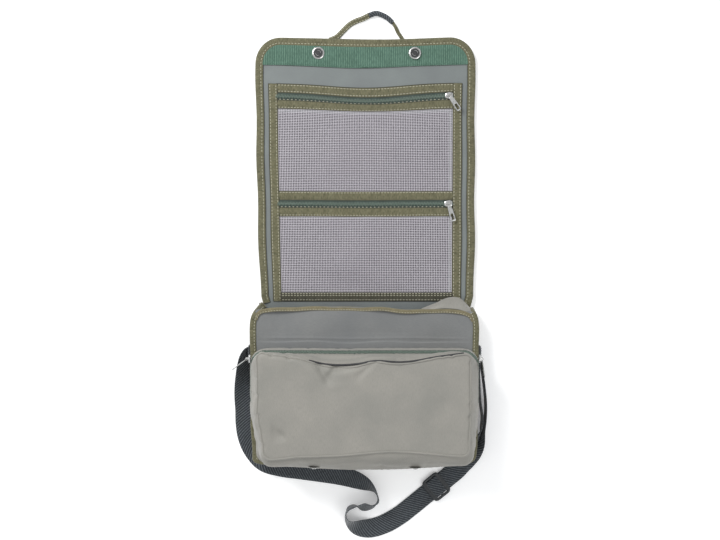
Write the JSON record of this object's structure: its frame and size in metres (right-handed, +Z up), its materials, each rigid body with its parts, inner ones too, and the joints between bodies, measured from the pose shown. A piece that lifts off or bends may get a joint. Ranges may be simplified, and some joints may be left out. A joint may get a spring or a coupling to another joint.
{
  "type": "hanging toiletry bag",
  "caption": "Soft fold-over toiletry bag lying open: zipped front pouch and open main compartment, long flap with zipped net pockets, webbing band with press studs, handle and shoulder strap.",
  "frame": {"origin": "middle of the rear panel's outer face, which lies on the table", "axes": "+X to the bag's right, +Y from the pouch to the flap's free end, +Z up, out of the open bag's front"},
  "size_m": [0.3297, 0.6954, 0.0815],
  "materials": {
    "taupe_nylon": "taupe grey plain-weave nylon, slight sheen",
    "stiffener_foam": "closed-cell sheet foam",
    "grey_lining": "blue-grey coated lining nylon",
    "olive_tape": "olive ribbed binding tape with pale stitching",
    "zip_green": "dark green nylon coil zip on woven tape",
    "nickel": "bright nickel plate",
    "pocket_net": "pale grey square net",
    "sage_webbing": "sage green ribbed webbing",
    "charcoal_webbing": "charcoal ribbed webbing",
    "black_plastic": "moulded black plastic"
  },
  "bodies": {
    "pouch": {"rear_panel": "taupe_nylon", "rear_foam": "stiffener_foam", "rear_lining": "grey_lining", "main_gusset": "taupe_nylon", "middle_panel": "taupe_nylon", "mouth_binding": "olive_tape", "body_binding": "olive_tape", "pouch_shell": "taupe_nylon", "pouch_zip_base": "zip_green", "pouch_stud_left": "nickel", "pouch_stud_right": "nickel", "strap_anchor_left": "charcoal_webbing", "strap_anchor_right": "charcoal_webbing", "strap_webbing": "charcoal_webbing", "strap_return": "charcoal_webbing", "strap_adjuster": "black_plastic"},
    "lid": {"pouch_lid": "taupe_nylon", "pouch_zip_lid": "zip_green"},
    "slider_left": {"pouch_slider_left": "nickel"},
    "puller_left": {"pouch_puller_left": "nickel"},
    "slider_right": {"pouch_slider_right": "nickel"},
    "puller_right": {"pouch_puller_right": "nickel"},
    "spine": {"flap_shell_spine": "taupe_nylon", "flap_foam_spine": "stiffener_foam", "flap_lining_spine": "grey_lining", "flap_binding_left_spine": "olive_tape", "flap_binding_right_spine": "olive_tape", "pocket_tape_left_spine": "olive_tape", "pocket_tape_right_spine": "olive_tape", "pocket_tape_bottom": "olive_tape", "lower_net_spine": "pocket_net"},
    "cover": {"flap_shell_cover": "taupe_nylon", "flap_foam_cover": "stiffener_foam", "flap_lining_cover": "grey_lining", "flap_binding_left_cover": "olive_tape", "flap_binding_right_cover": "olive_tape", "pocket_tape_left_cover": "olive_tape", "pocket_tape_right_cover": "olive_tape", "lower_net_cover": "pocket_net", "lower_zip_tape_below": "olive_tape", "lower_zip_tape_above": "olive_tape", "lower_zip": "zip_green", "upper_net": "pocket_net", "upper_zip_tape_below": "olive_tape", "upper_zip_tape_above": "olive_tape", "upper_zip": "zip_green"},
    "slider_lower": {"lower_slider": "nickel"},
    "puller_lower": {"lower_puller": "nickel"},
    "slider_upper": {"upper_slider": "nickel"},
    "puller_upper": {"upper_puller": "nickel"},
    "tip": {"flap_shell_tip": "taupe_nylon", "flap_foam_tip": "stiffener_foam", "flap_lining_tip": "grey_lining", "flap_binding_tip": "olive_tape", "webbing_band": "sage_webbing", "socket_left": "nickel", "socket_right": "nickel"},
    "handle": {"handle_leg_left": "olive_tape", "handle_grip": "charcoal_webbing", "handle_leg_right": "olive_tape"}
  },
  "joints": [
    {"name": "flap_fold", "type": "hinge", "parent": "pouch", "child": "spine", "pos_m": [0, 0.1075, 0.00455], "axis": [1, 0, 0], "range_deg": [0, 90]},
    {"name": "cover_fold", "type": "hinge", "parent": "spine", "child": "cover", "pos_m": [0, 0.1955, 0.00455], "axis": [1, 0, 0], "range_deg": [0, 90]},
    {"name": "tip_fold", "type": "hinge", "parent": "cover", "child": "tip", "pos_m": [0, 0.4105, 0.00455], "axis": [1, 0, 0], "range_deg": [0, 90]},
    {"name": "handle_swing", "type": "hinge", "parent": "tip", "child": "handle", "pos_m": [0, 0.4579, 0.0011], "axis": [-1, 0, 0], "range_deg": [-90, 90]},
    {"name": "lid_fold", "type": "hinge", "parent": "pouch", "child": "lid", "pos_m": [0, -0.0185, 0.0815], "axis": [-1, 0, 0], "range_deg": [-110, 0]},
    {"name": "slider_left_travel", "type": "slide", "parent": "pouch", "child": "slider_left", "axis": [0, -1, 0], "range_m": [0, 0.048]},
    {"name": "puller_left_swing", "type": "hinge", "parent": "slider_left", "child": "puller_left", "pos_m": [-0.1485, 0.0385, 0.0547], "axis": [0, 0, -1], "range_deg": [-50, 110]},
    {"name": "slider_right_travel", "type": "slide", "parent": "pouch", "child": "slider_right", "axis": [0, -1, 0], "range_m": [0, 0.048]},
    {"name": "puller_right_swing", "type": "hinge", "parent": "slider_right", "child": "puller_right", "pos_m": [0.1485, 0.0385, 0.0547], "axis": [0, 0, 1], "range_deg": [-8, 150]},
    {"name": "slider_lower_travel", "type": "slide", "parent": "cover", "child": "slider_lower", "axis": [-1, 0, 0], "range_m": [0, 0.212]},
    {"name": "puller_lower_lift", "type": "hinge", "parent": "slider_lower", "child": "puller_lower", "pos_m": [0.11, 0.2376, 0.0108], "axis": [0.9613, 0.2756, 0], "range_deg": [-110, 0]},
    {"name": "slider_upper_travel", "type": "slide", "parent": "cover", "child": "slider_upper", "axis": [-1, 0, 0], "range_m": [0, 0.212]},
    {"name": "puller_upper_lift", "type": "hinge", "parent": "slider_upper", "child": "puller_upper", "pos_m": [0.111, 0.3795, 0.0108], "axis": [0.829, 0.5592, 0], "range_deg": [-110, 0]}
  ],
  "couplings": [
    {"joint": "cover_fold", "follows": "flap_fold", "ratio": 1},
    {"joint": "tip_fold", "follows": "flap_fold", "ratio": 1}
  ]
}
